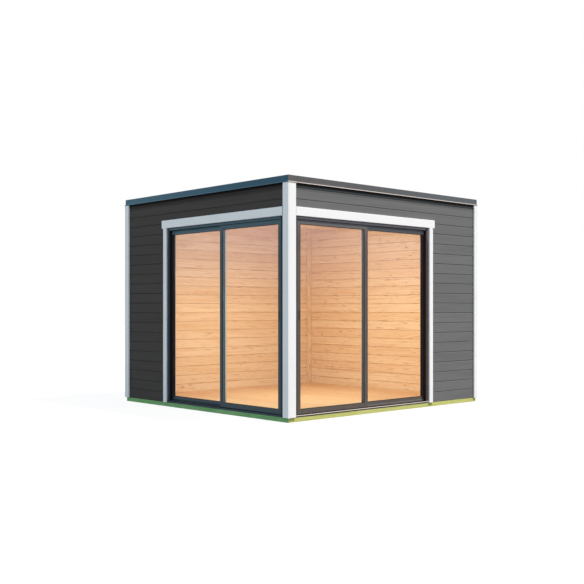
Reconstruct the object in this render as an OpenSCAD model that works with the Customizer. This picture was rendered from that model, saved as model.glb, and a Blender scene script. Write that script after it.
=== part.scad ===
// Flat-roofed log cabin with a sliding glass door on each side of one corner.
// Millimetres. Origin on the ground under the middle of the cabin, +Z up.
// The front is the -Y side, the right side is the +X side; both doors start
// at the corner between them. Doors and trims are drawn in face coordinates:
// u runs along the face away from that corner, v goes into the room from the
// outer face of the logs, and z is up.

/* [Cabin] */
// Width over the corner boards, along X
cabin_w = 3000; // [2500:10:4500]
// Depth over the corner boards, along Y
cabin_d = 3000; // [2500:10:4500]
// Height of the log walls, from the foundation to the roof boards
wall_h = 2305; // [2180:5:2800]

/* [Logs] */
// Thickness of the logs
log_t = 44; // [34:1:70]
// Height that each log covers
log_cover = 113; // [80:1:180]
// Depth of the V joint at each edge of a log's face
log_vee = 5; // [2:0.5:8]
// Thickness of each of the two tongues
tongue_t = 7; // [5:0.5:9]
// Height of the tongues
tongue_h = 9; // [5:1:15]
// Clearance round a tongue in its groove
tongue_play = 1; // [0.5:0.1:2]
// Lowest height that the top log may be ripped to
top_log_min = 30; // [25:1:60]

/* [Foundation and floor] */
// Height of the foundation beams
beam_h = 45; // [30:1:100]
// Width of the foundation beams
beam_w = 70; // [50:1:120]
// Width of a floor joist
joist_w = 45; // [35:1:70]
// Number of floor joists between the left and right beams
joist_count = 5; // [3:1:9]
// Thickness of the floor boards
floor_t = 18; // [12:1:28]

/* [Posts and battens] */
// Side of the square post at the glazed corner
post_w = 68; // [60:1:100]
// Side of the square battens in the inner corners
batten_w = 45; // [30:1:70]

/* [Trim boards] */
// Thickness of the corner, jamb and header boards
board_t = 18; // [12:1:28]
// Width of the corner boards and jamb boards
board_w = 60; // [60:1:120]
// Height of the header boards
header_h = 89; // [60:1:150]
// How far a header board runs past its jamb board
header_overhang = 30; // [0:5:80]
// How much of the door frame a header board covers
header_cover = 14; // [5:1:25]
// Gap between the front header board and the corner board
header_gap = 8; // [1:1:12]
// Size of the eased arrises of these boards
arris = 3; // [1:0.5:5]

/* [Doors] */
// Width of a door frame
door_w = 2030; // [1400:10:2200]
// Height of a door frame
door_h = 1995; // [1800:5:2050]
// Depth of a door frame
door_d = 76; // [74:1:140]
// Visible width of the frame's jambs and head
frame_face = 43; // [35:1:60]
// Height of the sill under the fixed panel
sill_h = 31; // [26:1:40]
// Height of the sill's outer lip, in front of the sliding panel
sill_lip_h = 19; // [14:1:24]
// Wall thickness of the frame's profile
frame_wall = 3; // [2:0.5:5]
// How far the panels stand in the frame's channels
panel_bite = 10; // [8:1:14]
// How far the sill's drip nose stands out from the logs
nose_out = 6; // [4:1:18]
// Height of the drip nose at its outer edge
nose_h = 9; // [5:1:10]
// Width of the rail that the rollers run on
rail_w = 6; // [5:0.5:7]
// Height of that rail above the channel's floor
rail_h = 12; // [10:1:14]
// Thickness of a panel
panel_t = 26; // [22:1:27]
// Gap between the sliding panel and the fixed one
panel_gap = 6; // [5:1:8]
// Width of the stiles that meet in the middle
meeting_stile = 48; // [40:1:60]
// How far the meeting stile of the fixed panel reaches behind the sliding one
meeting_lap = 5; // [2:1:48]
// Visible width of the sliding panel's stile at the corner
jamb_stile = 48; // [40:1:60]
// Visible width of the fixed panel's stile at the far jamb
fixed_stile = 24; // [20:1:60]
// Visible height of the top rail
top_rail = 47; // [40:1:60]
// Visible height of the bottom rail
bottom_rail = 42; // [35:1:60]
// Thickness of a sealed glass unit
glass_t = 14; // [8:1:16]
// How far the glass sits behind the panel's outer face
glass_inset = 6; // [4:1:10]
// How deep the glass stands in the panel's groove
glass_bite = 12; // [8:1:20]
// Height of the flush pull's middle above the ground
pull_z = 1050; // [900:10:1200]
// Height of the flush pull
pull_h = 92; // [70:1:160]
// Width of the flush pull
pull_w = 18; // [14:1:28]
// Radius of a roller's tread
roller_r = 11; // [8:0.5:12]
// Distance of the rollers from the ends of the sliding panel
roller_inset = 90; // [60:5:200]

/* [Roof] */
// Width of a purlin
purlin_w = 45; // [35:1:80]
// Height of a purlin
purlin_h = 165; // [100:5:180]
// Number of purlins, the outer two against the walls
purlin_count = 6; // [4:1:9]
// Depth of the housings in the logs that carry the purlins' ends
housing = 15; // [8:1:20]
// Thickness of the roof boards
deck_t = 18; // [12:1:28]
// Height of the battens round the roof's edge
edge_batten_h = 46; // [30:1:80]
// Width of the battens round the roof's edge
edge_batten_w = 45; // [30:1:70]
// Thickness of the roof membrane
membrane_t = 3; // [2:0.5:5]
// Overhang of the roof's edge past the logs
eave = 8; // [4:1:10]
// Thickness of the metal edge trim
trim_t = 4; // [2:0.5:4]
// How far the edge trim's drip lip stands out
lip_out = 11; // [6:1:25]
// Height of the drip lip
lip_h = 9; // [6:1:20]

/* [Hidden] */

// Colours
LOG_COLOR = [0.47, 0.47, 0.47];
SPRUCE_COLOR = [0.86, 0.68, 0.48];
TREATED_COLOR = [0.66, 0.68, 0.38];
BOARD_COLOR = [0.95, 0.95, 0.95];
METAL_COLOR = [0.30, 0.31, 0.33];
TRIM_COLOR = [0.36, 0.38, 0.42];
MEMBRANE_COLOR = [0.16, 0.16, 0.17];
GLASS_COLOR = [0.75, 0.85, 0.90, 0.35];
PULL_COLOR = [0.15, 0.15, 0.16];

// Clearances
log_gap = 0.5;       // hairline between stacked logs
fit_gap = 2;         // between logs or the post and a door frame
joint_gap = 1;       // between two pieces of wood that butt
side_clear = 5;      // between the sliding panel and the frame's lip
edge_clear = 8;      // between the sliding panel's edge and its channel
rail_clear = 5;      // between the rail and the groove of the sliding panel
roll_gap = 0.3;      // between a roller's tread and the rail
nose_z = 8;          // from the foundation to the underside of the drip nose

// Half sizes of the rectangle of the logs' outer faces, and of the room
log_x = cabin_w / 2 - board_t;
log_y = cabin_d / 2 - board_t;
room_x = log_x - log_t;
room_y = log_y - log_t;

// Levels
floor_top = beam_h + floor_t;
wall_top = beam_h + wall_h;
deck_top = wall_top + deck_t;
batten_top = deck_top + edge_batten_h;
roof_top = batten_top + trim_t;
purlin_bottom = wall_top - purlin_h;

// Courses: full logs, and a top log ripped to what is left
course_count = max(1, ceil((wall_h - top_log_min) / log_cover));
function course_bottom(k) = beam_h + k * log_cover;
function course_height(k) =
    k < course_count - 1 ? log_cover : wall_h - (course_count - 1) * log_cover;

// Doors, in face coordinates
door_u0 = post_w + fit_gap;
door_u1 = door_u0 + door_w;
door_top = beam_h + door_h;
opening_u1 = door_u1 + fit_gap;
opening_top = door_top + fit_gap;
clear_u0 = door_u0 + frame_face;
clear_u1 = door_u1 - frame_face;
clear_z0 = beam_h + sill_h;
clear_z1 = door_top - frame_face;
panel_z0 = clear_z0 - panel_bite;
panel_z1 = clear_z1 + panel_bite;
sliding_v = frame_wall + side_clear;
fixed_v = sliding_v + panel_t + panel_gap;
channel_d = panel_bite + edge_clear;
rail_top = clear_z0 - channel_d + rail_h;
rail_v = sliding_v + panel_t / 2;

// Both boards at the glazed corner are as wide as the post and the lap over
// the other board's edge
post_board_w = post_w + board_t;
header_z0 = door_top - header_cover;
header_z1 = header_z0 + header_h;

// ---- Placing ----

// Face coordinates on the front: u runs to -X, v runs to +Y
module on_front() {
    translate([log_x, -log_y, 0]) mirror([1, 0, 0]) children();
}

// Face coordinates on the right side: u runs to +Y, v runs to -X
module on_right() {
    translate([log_x, -log_y, 0]) rotate(90) children();
}

// Face coordinates on the back: u runs to -X from the right side
module on_back() {
    translate([log_x, log_y, 0]) rotate(180) children();
}

// Face coordinates on the left side: u runs to -Y from the back
module on_left() {
    translate([-log_x, log_y, 0]) rotate(-90) children();
}

// A box between two corners
module box(lo, hi) {
    translate(lo) cube(hi - lo);
}

// ---- Logs ----

// Section of a log of height h: V joints at its faces, two tongues on top
// when it carries another log, and two grooves below unless it is the first
module log_section(h, tongues, grooves) {
    top = h - log_gap;
    groove_t = tongue_t + 2 * tongue_play;
    centres = [log_t * 0.33, log_t * 0.67];
    difference() {
        union() {
            polygon([
                [0, log_vee], [log_vee, 0], [log_t - log_vee, 0], [log_t, log_vee],
                [log_t, top - log_vee], [log_t - log_vee, top],
                [log_vee, top], [0, top - log_vee]
            ]);
            if (tongues)
                for (c = centres)
                    translate([c - tongue_t / 2, top - 1]) square([tongue_t, tongue_h + 1]);
        }
        if (grooves)
            for (c = centres)
                translate([c - groove_t / 2, -1])
                    square([groove_t, tongue_h + tongue_play + 1]);
    }
}

// Log of course k from a to b along X, with its outer face on y = 0
module log_run(k, a, b) {
    translate([a, 0, course_bottom(k)])
        rotate([90, 0, 90])
            linear_extrude(b - a)
                log_section(course_height(k), k < course_count - 1, k > 0);
}

// Stack of whole logs from a to b
module log_stack(a, b) {
    for (k = [0 : course_count - 1]) log_run(k, a, b);
}

// Logs beside a door, from the far edge of its opening to b: every course
// that starts below the top of the opening
module logs_beside_door(b) {
    for (k = [0 : course_count - 1])
        if (course_bottom(k) < opening_top) log_run(k, opening_u1, b);
}

// Logs over a door: whole logs from a to b, and the log that the opening
// cuts, from the near corner to the far edge of the opening
module logs_over_door(a, b) {
    for (k = [0 : course_count - 1]) {
        bottom = course_bottom(k);
        top = bottom + course_height(k);
        if (bottom >= opening_top)
            log_run(k, a, b);
        else if (top > opening_top + log_gap)
            difference() {
                log_run(k, a, opening_u1 - joint_gap);
                box([a - 1, -1, bottom - 1], [opening_u1, log_t + 1, opening_top]);
            }
    }
}

// Seen from outside, each wall runs through at its right-hand corner and butts
// against the next wall at its left-hand one
module back_wall() {
    color(LOG_COLOR)
        difference() {
            on_back() log_stack(log_t + joint_gap, 2 * log_x);
            purlins(joint_gap);
        }
}

module left_wall() {
    color(LOG_COLOR)
        on_left() log_stack(log_t + joint_gap, 2 * log_y);
}

module front_wall() {
    color(LOG_COLOR) on_front() logs_beside_door(log_x + room_x - joint_gap);
}

module right_wall() {
    color(LOG_COLOR) on_right() logs_beside_door(2 * log_y);
}

module front_lintel() {
    color(LOG_COLOR)
        difference() {
            on_front() logs_over_door(0, log_x + room_x - joint_gap);
            purlins(joint_gap);
        }
}

module right_lintel() {
    color(LOG_COLOR) on_right() logs_over_door(log_t + joint_gap, 2 * log_y);
}

// ---- Foundation and floor ----

module foundation_beams() {
    inner_x = log_x - beam_w;
    inner_y = log_y - beam_w;
    color(TREATED_COLOR) {
        for (side = [-1, 1]) {
            y0 = side < 0 ? -log_y : inner_y;
            box([-log_x, y0, 0], [log_x, y0 + beam_w, beam_h]);
        }
        for (side = [-1, 1]) {
            x0 = side < 0 ? -log_x : inner_x;
            box([x0, -inner_y + joint_gap, 0], [x0 + beam_w, inner_y - joint_gap, beam_h]);
        }
    }
}

module floor_joists() {
    inner_x = log_x - beam_w;
    inner_y = log_y - beam_w;
    step = 2 * inner_x / (joist_count + 1);
    color(TREATED_COLOR)
        for (i = [1 : joist_count])
            translate([-inner_x + i * step - joist_w / 2, -inner_y, 0])
                cube([joist_w, 2 * inner_y, beam_h]);
}

// Floor between the walls, notched round the corner post and the door frames
module floor_boards() {
    x1 = room_x - joint_gap;
    y1 = room_y - joint_gap;
    color(SPRUCE_COLOR)
        difference() {
            box([-x1, -y1, beam_h], [x1, y1, floor_top]);
            on_front() door_notch();
            on_right() door_notch();
        }
}

// Space that a door frame and the corner post take out of the floor
module door_notch() {
    box([-1, -1, beam_h - 1], [door_u1 + joint_gap, door_d + joint_gap, floor_top + 1]);
}

// ---- Post and battens ----

module corner_post() {
    color(BOARD_COLOR)
        on_front() box([0, 0, beam_h], [post_w, post_w, opening_top - joint_gap]);
}

module inner_corner_battens() {
    color(SPRUCE_COLOR)
        for (c = [[-1, 1], [1, 1], [-1, -1]]) {
            x0 = c[0] < 0 ? -room_x : room_x - batten_w;
            y0 = c[1] < 0 ? -room_y : room_y - batten_w;
            box([x0, y0, floor_top], [x0 + batten_w, y0 + batten_w, purlin_bottom - joint_gap]);
        }
}

// ---- Trim boards ----

board_top = wall_top - joint_gap;

// Board on a face from u0 to u1 and z0 to z1, its outer arrises eased
module face_board(u0, u1, z0, z1) {
    t = board_t;
    color(BOARD_COLOR)
        intersection() {
            translate([0, 0, z0]) linear_extrude(z1 - z0)
                polygon([
                    [u0, 0], [u0, arris - t], [u0 + arris, -t],
                    [u1 - arris, -t], [u1, arris - t], [u1, 0]
                ]);
            translate([u0, 0, 0]) rotate([90, 0, 90]) linear_extrude(u1 - u0)
                polygon([
                    [0, z0], [arris - t, z0], [-t, z0 + arris],
                    [-t, z1 - arris], [arris - t, z1], [0, z1]
                ]);
        }
}

// Upright board from u0 to u1, from the foundation to the drip lip
module corner_board(u0, u1) {
    face_board(u0, u1, beam_h, board_top);
}

// Seen from outside, the right-hand board of a face laps over the edge of the
// left-hand board of the next face
module corner_board_front_right() { on_front() corner_board(-board_t, post_w); }
module corner_board_right_front() { on_right() corner_board(0, post_board_w); }

module corner_board_right_back() { on_right() lapping_board(2 * log_y); }
module corner_board_back_right() { on_back() corner_board(0, board_w); }

module corner_board_back_left() { on_back() lapping_board(2 * log_x); }
module corner_board_left_back() { on_left() corner_board(0, board_w); }

module corner_board_left_front() { on_left() lapping_board(2 * log_y); }
module corner_board_front_left() { on_front() corner_board(2 * log_x - board_w, 2 * log_x); }

// Board that ends past the far corner of a face of that length
module lapping_board(length) {
    corner_board(length + board_t - board_w, length + board_t);
}

module header_board(u0) {
    face_board(u0, door_u1 + board_w + header_overhang, header_z0, header_z1);
}

module jamb_board() {
    face_board(door_u1, door_u1 + board_w, beam_h, header_z0);
}

// ---- Sliding doors, in face coordinates ----

// Frame: jambs, head and a stepped sill with a drip nose. The sliding panel
// runs on a rail in the outer channel, and the fixed panel is set tight in the
// inner one. Behind the post the frames of both doors meet in a mitre. The
// nose starts beside the corner board, which ends at u_board.
module door_frame(u_board) {
    color(METAL_COLOR)
        difference() {
            union() {
                difference() {
                    box([door_u0, 0, beam_h], [door_u1, door_d, door_top]);
                    box([clear_u0, -1, clear_z0], [clear_u1, door_d + 1, clear_z1]);
                    box([clear_u0, -1, beam_h + sill_lip_h], [clear_u1, fixed_v, clear_z1]);
                    frame_channel(channel_d, frame_wall, fixed_v);
                    frame_channel(panel_bite, fixed_v - 1, fixed_v + panel_t);
                }
                drip_nose(u_board + joint_gap, door_u1);
                box([clear_u0 - channel_d - 1, rail_v - rail_w / 2, rail_top - rail_h - 1],
                    [clear_u1 + channel_d + 1, rail_v + rail_w / 2, rail_top]);
            }
            translate([joint_gap / 2, 0, 0])
                linear_extrude(door_top + 1)
                    polygon([[0, 0], [2 * door_d, 2 * door_d], [0, 2 * door_d]]);
        }
}

// Nose along the foot of the sill: its top falls outwards, and its underside
// has a groove that water drips from
module drip_nose(u0, u1) {
    z0 = beam_h + nose_z;
    z1 = z0 + nose_h;
    translate([u0, 0, 0]) rotate([90, 0, 90]) linear_extrude(u1 - u0)
        polygon([
            [1, z0 + 2], [1, z1 + 1], [0, z1 + 1], [-nose_out, z1 - 1],
            [-nose_out, z0], [2 - nose_out, z0], [2 - nose_out, z0 + 2]
        ]);
}

// Channel of a depth d in jambs, head and sill, from v0 to v1
module frame_channel(d, v0, v1) {
    box([clear_u0 - d, v0, clear_z0 - d], [clear_u1 + d, v1, clear_z1 + d]);
}

// Ring of stiles and rails round a glass, with a groove for its edges.
// stile_0 and stile_1 are the widths of its stiles at u0 and u1.
module panel(u0, u1, v0, stile_0, stile_1) {
    g0 = [u0 + stile_0, v0, panel_z0 + panel_bite + bottom_rail];
    g1 = [u1 - stile_1, v0, panel_z1 - panel_bite - top_rail];
    color(METAL_COLOR)
        difference() {
            box([u0, v0, panel_z0], [u1, v0 + panel_t, panel_z1]);
            box([g0[0], v0 - 1, g0[2]], [g1[0], v0 + panel_t + 1, g1[2]]);
            box([g0[0] - glass_bite, v0 + glass_inset, g0[2] - glass_bite],
                [g1[0] + glass_bite, v0 + glass_inset + glass_t, g1[2] + glass_bite]);
        }
}

// Glass of the same panel
module panel_glass(u0, u1, v0, stile_0, stile_1) {
    color(GLASS_COLOR)
        box([u0 + stile_0 - glass_bite, v0 + glass_inset,
             panel_z0 + panel_bite + bottom_rail - glass_bite],
            [u1 - stile_1 + glass_bite, v0 + glass_inset + glass_t,
             panel_z1 - panel_bite - top_rail + glass_bite]);
}

// The sliding panel's jamb stile is at the corner, the fixed panel's at the far jamb
sliding_u0 = clear_u0 - panel_bite;
sliding_u1 = (clear_u0 + clear_u1 + meeting_stile) / 2;
fixed_u0 = sliding_u1 - meeting_lap;
fixed_u1 = clear_u1 + panel_bite;
corner_stile = jamb_stile + panel_bite;
far_stile = fixed_stile + panel_bite;
roller_us = [sliding_u0 + roller_inset, sliding_u1 - roller_inset];
roller_z = rail_top + roll_gap + roller_r;
groove_w = rail_w + 2 * rail_clear;

// The bottom rail has a groove over the frame's rail, and a pocket for each roller
module sliding_panel() {
    color(METAL_COLOR)
        difference() {
            panel(sliding_u0, sliding_u1, sliding_v, corner_stile, meeting_stile);
            box([sliding_u0 - 1, rail_v - groove_w / 2, panel_z0 - 1],
                [sliding_u1 + 1, rail_v + groove_w / 2, rail_top + rail_clear]);
            for (u = roller_us)
                box([u - roller_r - 4, rail_v - groove_w / 2, panel_z0 - 1],
                    [u + roller_r + 4, rail_v + groove_w / 2, roller_z + roller_r + 3]);
        }
}

module sliding_glass() {
    panel_glass(sliding_u0, sliding_u1, sliding_v, corner_stile, meeting_stile);
}

// Rollers on axles between the cheeks of their pockets, with flanges that
// keep them on the rail
module sliding_rollers() {
    flange = 1.5;
    tread = rail_w + 1;
    color(PULL_COLOR)
        for (u = roller_us)
            translate([u, rail_v, roller_z]) rotate([90, 0, 0]) {
                cylinder(r = roller_r, h = tread, center = true, $fn = 48);
                for (side = [-1, 1])
                    translate([0, 0, side * (tread + flange) / 2])
                        cylinder(r = roller_r + 2, h = flange, center = true, $fn = 48);
                cylinder(r = 3, h = groove_w, center = true, $fn = 32);
            }
}

module fixed_panel() {
    panel(fixed_u0, fixed_u1, fixed_v, meeting_stile, far_stile);
}

module fixed_glass() {
    panel_glass(fixed_u0, fixed_u1, fixed_v, meeting_stile, far_stile);
}

// Flush pull at the glass side of the sliding panel's jamb stile
module door_pull() {
    u1 = sliding_u0 + corner_stile - 3;
    lip = 2;
    color(PULL_COLOR)
        difference() {
            box([u1 - pull_w, sliding_v - lip, pull_z - pull_h / 2],
                [u1, sliding_v, pull_z + pull_h / 2]);
            box([u1 - pull_w + 4, sliding_v - lip - 1, pull_z - pull_h / 2 + 6],
                [u1 - 4, sliding_v - lip / 2, pull_z + pull_h / 2 - 6]);
        }
}

// ---- Roof ----

// Purlins from housing to housing, or the space that they take with a play
// round them
module purlins(play) {
    step = (2 * room_x - purlin_w) / (purlin_count - 1);
    end_y = room_y + housing + play;
    for (i = [0 : purlin_count - 1]) {
        x0 = -room_x + i * step;
        box([x0 - play, -end_y, purlin_bottom], [x0 + purlin_w + play, end_y, wall_top + play]);
    }
}

module roof_purlins() {
    color(SPRUCE_COLOR) purlins(0);
}

module roof_boards() {
    x1 = log_x + eave;
    y1 = log_y + eave;
    color(SPRUCE_COLOR) box([-x1, -y1, wall_top], [x1, y1, deck_top]);
}

module roof_edge_battens() {
    x1 = log_x + eave;
    y1 = log_y + eave;
    w = edge_batten_w;
    color(SPRUCE_COLOR) {
        for (y0 = [-y1, y1 - w]) box([-x1, y0, deck_top], [x1, y0 + w, batten_top]);
        for (x0 = [-x1, x1 - w])
            box([x0, -y1 + w + joint_gap, deck_top], [x0 + w, y1 - w - joint_gap, batten_top]);
    }
}

module roof_membrane() {
    x1 = log_x + eave - edge_batten_w;
    y1 = log_y + eave - edge_batten_w;
    color(MEMBRANE_COLOR) box([-x1, -y1, deck_top], [x1, y1, deck_top + membrane_t]);
}

// Section of the edge trim, with its back against the edge batten at x = 0
module edge_trim_section() {
    flange = edge_batten_w + trim_t;
    bottom = wall_top - joint_gap;
    polygon([
        [0, batten_top], [0, bottom + lip_h], [lip_out, bottom],
        [lip_out + trim_t, bottom], [trim_t, bottom + lip_h + trim_t],
        [trim_t, roof_top], [-flange + trim_t, roof_top],
        [-flange + trim_t, batten_top]
    ]);
}

// Edge trim along one side, mitred at both ends: half_len is half the length
// of that side over the roof boards
module edge_trim(half_len) {
    reach = trim_t + lip_out;
    out = half_len + reach + 1;
    color(TRIM_COLOR)
        intersection() {
            translate([-out, 0, 0]) rotate([90, 0, 90]) linear_extrude(2 * out)
                mirror([1, 0]) edge_trim_section();
            linear_extrude(2 * roof_top)
                polygon([
                    [-half_len - reach, -reach], [half_len + reach, -reach],
                    [half_len - edge_batten_w, edge_batten_w],
                    [-half_len + edge_batten_w, edge_batten_w]
                ]);
        }
}

eave_x = log_x + eave;
eave_y = log_y + eave;

module edge_trim_front() {
    translate([0, -eave_y, 0]) edge_trim(eave_x);
}

module edge_trim_back() {
    translate([0, eave_y, 0]) rotate(180) edge_trim(eave_x);
}

module edge_trim_left() {
    translate([-eave_x, 0, 0]) rotate(-90) edge_trim(eave_y);
}

module edge_trim_right() {
    translate([eave_x, 0, 0]) rotate(90) edge_trim(eave_y);
}

// ---- Doors and trims on the two glazed faces ----

module front_header_board() { on_front() header_board(post_w + header_gap); }
module right_header_board() { on_right() header_board(post_board_w + joint_gap); }
module front_jamb_board() { on_front() jamb_board(); }
module right_jamb_board() { on_right() jamb_board(); }
module front_door_frame() { on_front() door_frame(post_w); }
module right_door_frame() { on_right() door_frame(post_board_w); }
module front_fixed_panel() { on_front() fixed_panel(); }
module right_fixed_panel() { on_right() fixed_panel(); }
module front_fixed_glass() { on_front() fixed_glass(); }
module right_fixed_glass() { on_right() fixed_glass(); }
module front_sliding_panel() { on_front() sliding_panel(); }
module right_sliding_panel() { on_right() sliding_panel(); }
module front_sliding_glass() { on_front() sliding_glass(); }
module right_sliding_glass() { on_right() sliding_glass(); }
module front_sliding_rollers() { on_front() sliding_rollers(); }
module right_sliding_rollers() { on_right() sliding_rollers(); }
module front_door_pull() { on_front() door_pull(); }
module right_door_pull() { on_right() door_pull(); }

foundation_beams();
floor_joists();
floor_boards();
back_wall();
left_wall();
front_wall();
right_wall();
front_lintel();
right_lintel();
corner_post();
inner_corner_battens();
corner_board_front_right();
corner_board_right_front();
corner_board_right_back();
corner_board_back_right();
corner_board_back_left();
corner_board_left_back();
corner_board_left_front();
corner_board_front_left();
front_header_board();
right_header_board();
front_jamb_board();
right_jamb_board();
front_door_frame();
front_fixed_panel();
front_fixed_glass();
front_sliding_panel();
front_sliding_glass();
front_sliding_rollers();
front_door_pull();
right_door_frame();
right_fixed_panel();
right_fixed_glass();
right_sliding_panel();
right_sliding_glass();
right_sliding_rollers();
right_door_pull();
roof_purlins();
roof_boards();
roof_edge_battens();
roof_membrane();
edge_trim_front();
edge_trim_back();
edge_trim_left();
edge_trim_right();
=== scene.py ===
"""Looks of a flat-roofed log cabin with a sliding glass door on each side of one corner.

Metres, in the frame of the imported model: the front is the -Y side, the right side is +X,
and both doors start at the corner between them. On a glazed face, u runs from the corner
along the face, v from the logs' outer face into the room, and z up.
"""

import math
import random

import bmesh
import bpy
from mathutils import Matrix, Vector


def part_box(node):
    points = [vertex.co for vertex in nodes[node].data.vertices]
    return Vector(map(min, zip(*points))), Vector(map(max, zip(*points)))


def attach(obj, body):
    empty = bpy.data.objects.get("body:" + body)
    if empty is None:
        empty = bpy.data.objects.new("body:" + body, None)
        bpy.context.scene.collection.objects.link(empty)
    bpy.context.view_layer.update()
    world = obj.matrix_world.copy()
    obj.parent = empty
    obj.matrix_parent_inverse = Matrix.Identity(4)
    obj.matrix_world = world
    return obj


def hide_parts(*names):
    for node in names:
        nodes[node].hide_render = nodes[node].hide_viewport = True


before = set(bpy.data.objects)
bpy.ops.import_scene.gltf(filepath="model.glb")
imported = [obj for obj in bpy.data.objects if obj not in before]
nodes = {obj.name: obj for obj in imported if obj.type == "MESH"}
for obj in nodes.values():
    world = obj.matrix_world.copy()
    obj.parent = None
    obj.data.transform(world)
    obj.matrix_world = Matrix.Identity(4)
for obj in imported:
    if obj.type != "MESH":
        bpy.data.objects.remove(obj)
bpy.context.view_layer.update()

# ---- Places and sizes that the looks hang on ----

BEAM_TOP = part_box("foundation_beams")[1].z
LOG_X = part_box("foundation_beams")[1].x
LOG_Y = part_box("foundation_beams")[1].y
WALL_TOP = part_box("roof_boards")[0].z
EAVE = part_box("roof_boards")[1].x - LOG_X
ROOM_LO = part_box("floor_boards")[0]
ROOM_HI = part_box("floor_boards")[1]
HEADER_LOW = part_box("front_header_board")[0].z
GLAZED = ("front", "right")

# Walls and roof: sizes of the part that its boxes don't give
LOG_COVER = 0.113
BEAM_BAND = 0.0705  # just over the width of a foundation beam
TRIM_T = 0.004
STAIN_DEPTH = 0.012  # how deep the logs' outer skin is stained
DECK_STAIN_AND_SHADE_REACH = 0.03  # how far in over the walls the roof boards are stained near-black: stain with painted shade of the eaves

# Depths below the walls' top where the shade of the eaves comes in, and its dark line
EAVE_SHADE = (0.080, 0.064)
EAVE_LINE = (0.036, 0.022)
BOARD_SHADOW_WIDTH = 0.008  # width of the painted shadow line beside a corner board
HEADER_LINE = 0.005  # height of the one under a header board

# Doors: bites of the panels in the frame and of the glass in the panels
PANEL_BITE = 0.010
GLASS_BITE = 0.012
GLASS_SHADE_WIDTH = 0.008  # width of the dark band of painted shade beside the glass

# Heights in the section of a sill
SILL_LIP = BEAM_TOP + 0.019
NOSE_TOP = BEAM_TOP + 0.0185
NOSE_EDGE = 0.0065
RAIL_TOP = BEAM_TOP + 0.0255
RAIL_H = 0.013

# Values of v, from the outer face inwards
NOSE_V = -0.0004
FRAME_WALL = 0.003
LIP_BACK = 0.0032  # just behind the frame's outer lip
RAIL_V = 0.021
RAIL_HALF = 0.0036
STEP_V = 0.0385  # just before the step of the sill
FIXED_V = 0.039  # just before the fixed panel
FIXED_MIDDLE = 0.050  # near the middle of the fixed panel

# Values of u, from the corner outwards
NEAR_LIP = 0.1135  # just past the frame's lip at the corner
FAR_STILE = 2.031  # just before the fixed panel's far stile
FAR_EDGE = 2.0345  # just past that stile's edge
FAR_LIP = (2.050, 2.080)  # on both sides of the frame's lip at the far jamb

# Values of z: where heads take on painted sky light, and bands of painted light and shade on
# the fixed panels' rails
HEAD_FADE = (1.80, 1.98)
TOP_RAIL = (1.95, 2.30)
LOW_RAIL = {"front": (0.060, 0.092), "right": (0.079, 0.088)}


def srgb(red, green, blue):
    """Linear colour of an 8-bit sRGB one."""

    def linear(v):
        v /= 255
        return v / 12.92 if v <= 0.04045 else ((v + 0.055) / 1.055) ** 2.4

    return (linear(red), linear(green), linear(blue), 1.0)


def tinted(colour, factor):
    """A lighter or darker colour."""
    return tuple(v * factor for v in colour[:3]) + (1.0,)


# ---- Shader nodes ----


def new_tree(name):
    """A new material, its node tree and its Principled shader."""
    material = bpy.data.materials.new(name)
    material.use_nodes = True
    tree = material.node_tree
    return material, tree, tree.nodes["Principled BSDF"]


def put(tree, socket, value):
    """Links value to the socket if it is a socket, and sets it otherwise."""
    if isinstance(value, bpy.types.NodeSocket):
        tree.links.new(value, socket)
    else:
        socket.default_value = value


def calc(tree, operation, *values):
    """Output of a Math node."""
    n = tree.nodes.new("ShaderNodeMath")
    n.operation = operation
    for socket, value in zip(n.inputs, values):
        put(tree, socket, value)
    return n.outputs[0]


def plus(tree, first, second):
    return calc(tree, "ADD", first, second)


def minus(tree, first, second):
    return calc(tree, "SUBTRACT", first, second)


def times(tree, first, second):
    return calc(tree, "MULTIPLY", first, second)


def above(tree, value, limit):
    """Mask: 1 where value is over the limit, else 0."""
    return calc(tree, "GREATER_THAN", value, limit)


def below(tree, value, limit):
    """Mask: 1 where value is under the limit, else 0."""
    return calc(tree, "LESS_THAN", value, limit)


def between(tree, value, low, high):
    """Mask: 1 where value is between two limits, else 0."""
    return times(tree, above(tree, value, low), below(tree, value, high))


def either(tree, first, second):
    """Mask: 1 where one of two masks is 1, else 0."""
    return calc(tree, "MAXIMUM", first, second)


def combine(tree, x, y, z):
    n = tree.nodes.new("ShaderNodeCombineXYZ")
    for socket, value in zip(n.inputs, (x, y, z)):
        put(tree, socket, value)
    return n.outputs[0]


def separate(tree, vector):
    n = tree.nodes.new("ShaderNodeSeparateXYZ")
    put(tree, n.inputs[0], vector)
    return n.outputs[0], n.outputs[1], n.outputs[2]


def place(tree):
    """The object's own coordinates, as a vector."""
    return tree.nodes.new("ShaderNodeTexCoord").outputs["Object"]


def here(tree):
    """The object's own coordinates, as (x, y, z)."""
    return separate(tree, place(tree))


def upward(tree):
    """How far a face looks up: 1 on a flat top, 0 on a wall and -1 on an underside."""
    normal = tree.nodes.new("ShaderNodeNewGeometry").outputs["True Normal"]
    return separate(tree, normal)[2]


def noise(tree, vector, scale, detail=2.0, roughness=0.5):
    n = tree.nodes.new("ShaderNodeTexNoise")
    put(tree, n.inputs["Vector"], vector)
    n.inputs["Scale"].default_value = scale
    n.inputs["Detail"].default_value = detail
    n.inputs["Roughness"].default_value = roughness
    return n.outputs["Fac"]


def ramp(tree, value, low, high, out_low=0.0, out_high=1.0):
    """Smooth step of value from low to high."""
    n = tree.nodes.new("ShaderNodeMapRange")
    n.interpolation_type = "SMOOTHSTEP"
    put(tree, n.inputs["Value"], value)
    n.inputs["From Min"].default_value = low
    n.inputs["From Max"].default_value = high
    n.inputs["To Min"].default_value = out_low
    n.inputs["To Max"].default_value = out_high
    return n.outputs["Result"]


def mix(tree, factor, first, second):
    """Mix of two colours."""
    n = tree.nodes.new("ShaderNodeMix")
    n.data_type = "RGBA"
    put(tree, n.inputs[0], factor)
    put(tree, n.inputs[6], first)
    put(tree, n.inputs[7], second)
    return n.outputs[2]


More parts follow.
